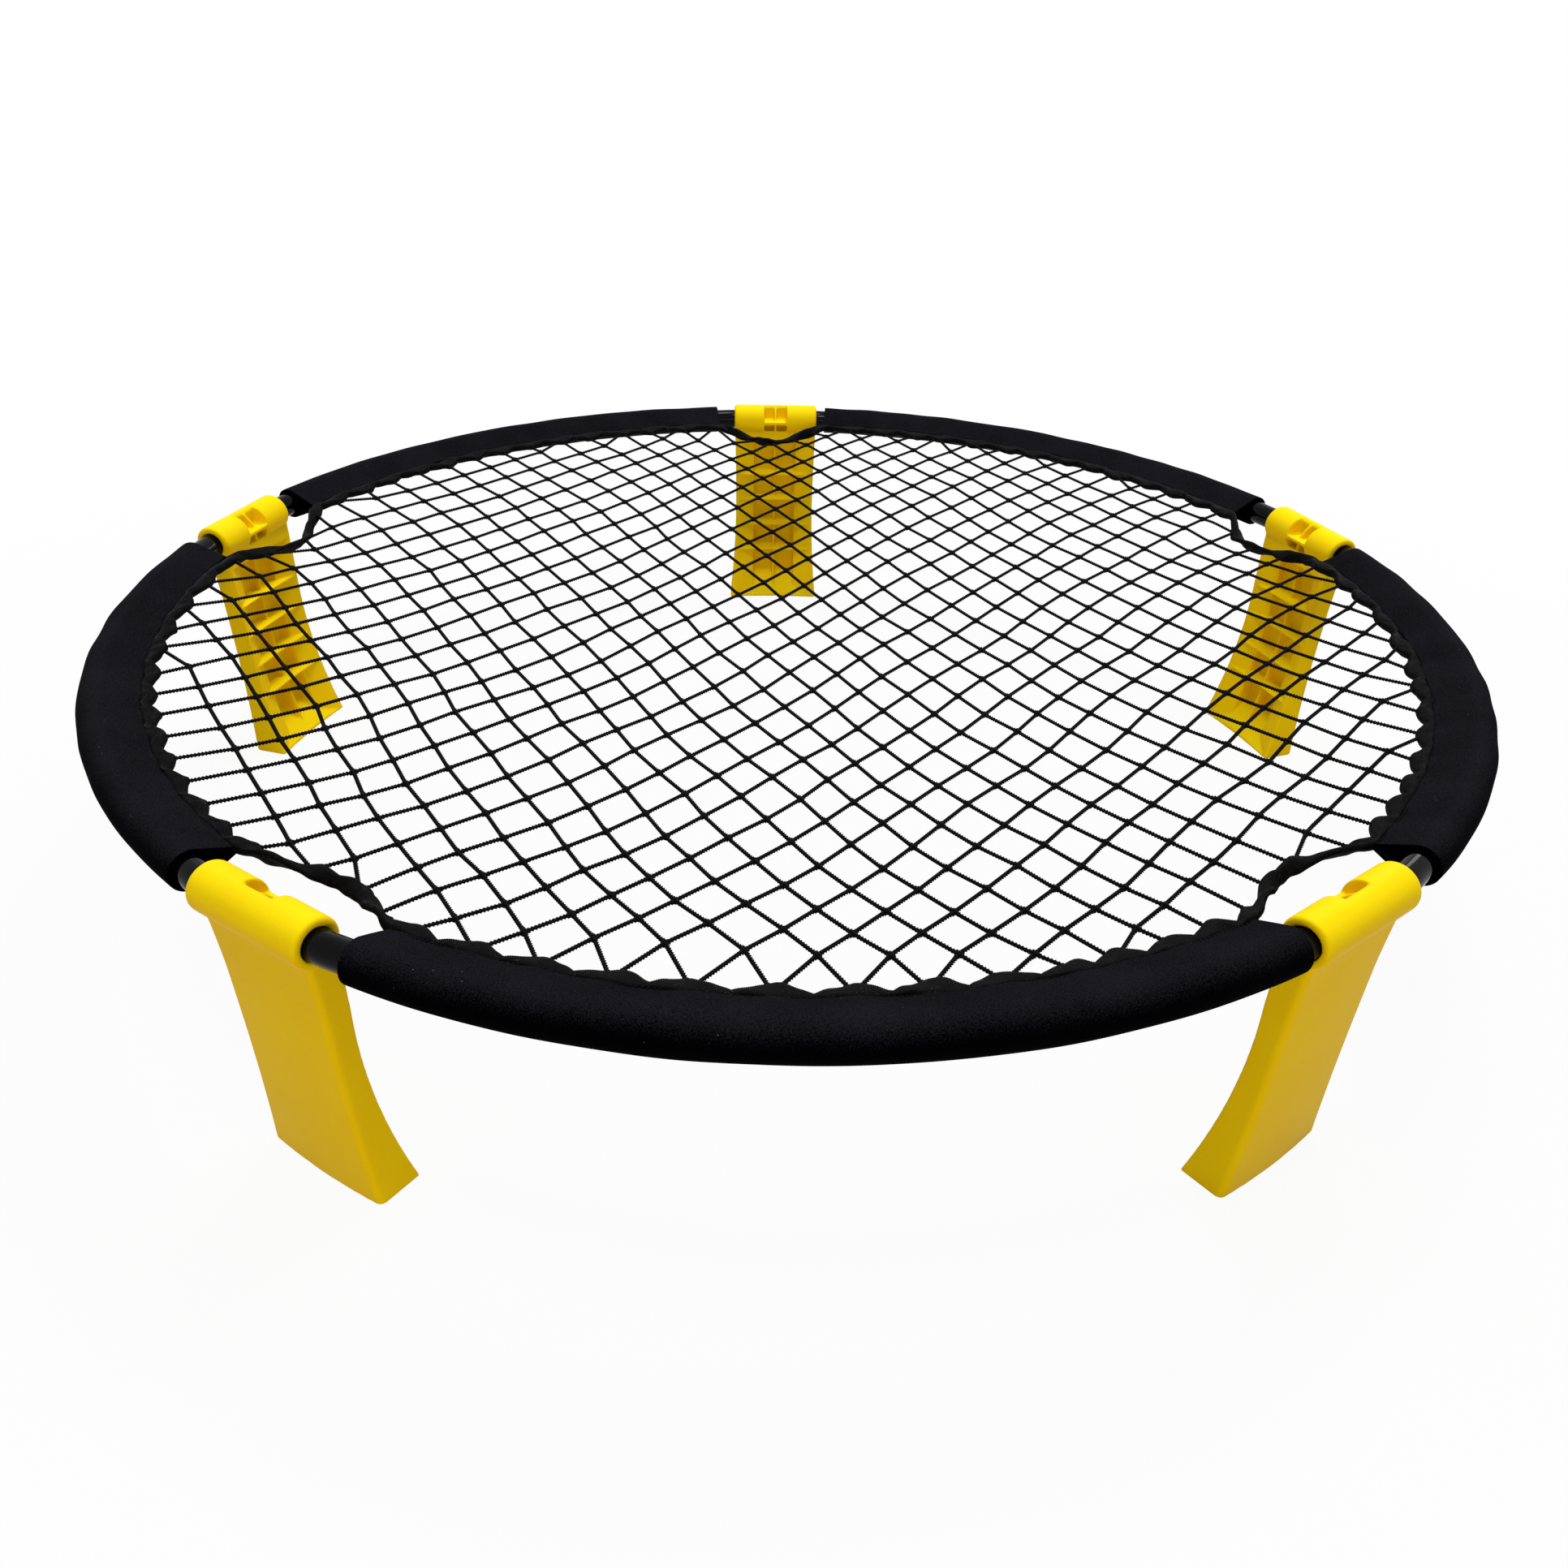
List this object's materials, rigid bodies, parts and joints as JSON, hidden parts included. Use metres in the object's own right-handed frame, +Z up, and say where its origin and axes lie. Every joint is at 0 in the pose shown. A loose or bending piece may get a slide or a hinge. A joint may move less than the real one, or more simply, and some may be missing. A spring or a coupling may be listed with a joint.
{
  "type": "low round bounce net on five folding legs",
  "caption": "Low round ball game net: curved tubes plugged into yellow moulded legs, with a black knotless net hung from fabric sleeves.",
  "frame": {"origin": "on the ground, under the centre of the ring", "axes": "+Z up, +Y from the middle to the first leg, +X to the right of it"},
  "size_m": [0.9036, 0.9036, 0.1875],
  "materials": {
    "leg_yellow": "bright yellow moulded plastic with a soft sheen",
    "rim_black": "gloss black coating",
    "sleeve_cloth": "dull black foam-backed cloth",
    "hem_tape": "black overlocked tape",
    "net_cord": "black twisted cord"
  },
  "bodies": {
    "rim": {"rim_tube_1": "rim_black", "rim_tube_2": "rim_black", "rim_tube_3": "rim_black", "rim_tube_4": "rim_black", "rim_tube_5": "rim_black", "sleeve_1": "sleeve_cloth", "sleeve_2": "sleeve_cloth", "sleeve_3": "sleeve_cloth", "sleeve_4": "sleeve_cloth", "sleeve_5": "sleeve_cloth", "net_hem": "hem_tape", "net": "net_cord"},
    "leg_1_body": {"leg_1": "leg_yellow"},
    "leg_2_body": {"leg_2": "leg_yellow"},
    "leg_3_body": {"leg_3": "leg_yellow"},
    "leg_4_body": {"leg_4": "leg_yellow"},
    "leg_5_body": {"leg_5": "leg_yellow"}
  },
  "joints": [
    {"name": "leg_1_fold", "type": "hinge", "parent": "rim", "child": "leg_1_body", "pos_m": [0, 0.43831, 0.174], "axis": [-1, 0, 0], "range_deg": [0, 55]},
    {"name": "leg_2_fold", "type": "hinge", "parent": "rim", "child": "leg_2_body", "pos_m": [-0.41686, 0.13545, 0.174], "axis": [-0.309, -0.9511, 0], "range_deg": [0, 55]},
    {"name": "leg_3_fold", "type": "hinge", "parent": "rim", "child": "leg_3_body", "pos_m": [-0.25763, -0.3546, 0.174], "axis": [0.809, -0.5878, 0], "range_deg": [0, 55]},
    {"name": "leg_4_fold", "type": "hinge", "parent": "rim", "child": "leg_4_body", "pos_m": [0.25763, -0.3546, 0.174], "axis": [0.809, 0.5878, 0], "range_deg": [0, 55]},
    {"name": "leg_5_fold", "type": "hinge", "parent": "rim", "child": "leg_5_body", "pos_m": [0.41686, 0.13545, 0.174], "axis": [-0.309, 0.9511, 0], "range_deg": [0, 55]}
  ]
}
